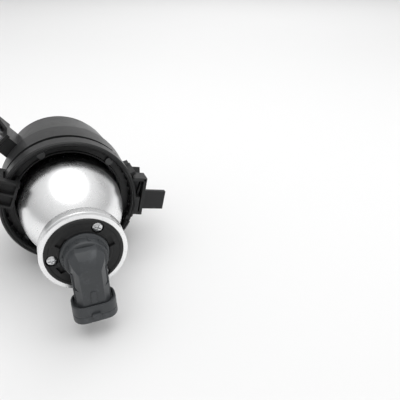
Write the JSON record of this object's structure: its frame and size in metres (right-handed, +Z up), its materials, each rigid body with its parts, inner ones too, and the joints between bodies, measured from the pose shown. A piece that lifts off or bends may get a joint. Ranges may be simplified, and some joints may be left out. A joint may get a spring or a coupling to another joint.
{
  "type": "projector fog light",
  "caption": "Round projector fog light: black housing, clear front lens, silver reflector bowl behind, bayonet bulb with angled socket, side ear and top bracket.",
  "frame": {"origin": "on the optical axis at the front edge of the barrel's nose", "axes": "-Y is the beam direction, +Y points back through the bulb, +Z is up"},
  "size_m": [0.1324, 0.171, 0.1004],
  "materials": {
    "black_plastic": "satin moulded black plastic",
    "black_trim": "matt black plastic",
    "dark_grey_plastic": "satin dark grey plastic",
    "bright_reflector": "vacuum-coated bright silver",
    "zinc": "bright zinc",
    "steel": "plain steel",
    "cast_alloy": "die-cast",
    "clear_glass": "clear polished",
    "seal_rubber": "moulded rubber",
    "nylon": "natural nylon",
    "tungsten": "drawn wire",
    "brass_blade": "tinned brass"
  },
  "bodies": {
    "housing": {"housing_barrel": "black_plastic", "rear_ring": "black_plastic", "ring_screws": "steel", "side_bracket": "black_plastic", "side_bracket_screw": "steel", "latch_box": "black_trim", "top_bracket": "black_plastic", "bracket_bushings": "zinc", "bracket_screws": "steel", "front_lens": "clear_glass", "lens_seal": "seal_rubber", "shroud": "black_trim", "pivot_pins": "steel"},
    "projector": {"reflector_bowl": "bright_reflector", "bowl_screws": "zinc", "lens_holder": "cast_alloy", "pivot_bushes": "nylon", "projector_lens": "clear_glass", "lens_retainer": "steel", "cutoff_shield": "steel", "adjuster_nut": "nylon", "adapter_plate": "black_trim", "adapter_screws": "zinc"},
    "bulb": {"bulb_base": "dark_grey_plastic", "connector_housing": "dark_grey_plastic", "connector_terminals": "brass_blade", "bulb_seal": "seal_rubber", "bulb_collar": "steel", "bulb_glass": "clear_glass", "bulb_cap": "black_trim", "bulb_supports": "tungsten", "bulb_filament": "tungsten"},
    "adjuster": {"adjuster_screw": "zinc", "adjuster_knob": "black_trim", "adjuster_clip": "steel"}
  },
  "joints": [
    {"name": "aim_tilt", "type": "hinge", "parent": "housing", "child": "projector", "pos_m": [0, 0.038, 0], "axis": [1, 0, 0], "range_deg": [-2.5, 2.5]},
    {"name": "bulb_turn", "type": "hinge", "parent": "projector", "child": "bulb", "pos_m": [0, 0.13, 0], "axis": [0, 1, 0], "range_deg": [0, 40]},
    {"name": "adjuster_turn", "type": "hinge", "parent": "housing", "child": "adjuster", "pos_m": [-0.02865, 0.07, -0.02404], "axis": [0, 1, 0], "range_deg": [-200, 200]}
  ],
  "couplings": [
    {"joint": "adjuster_turn", "follows": "aim_tilt", "ratio": -75.525}
  ]
}
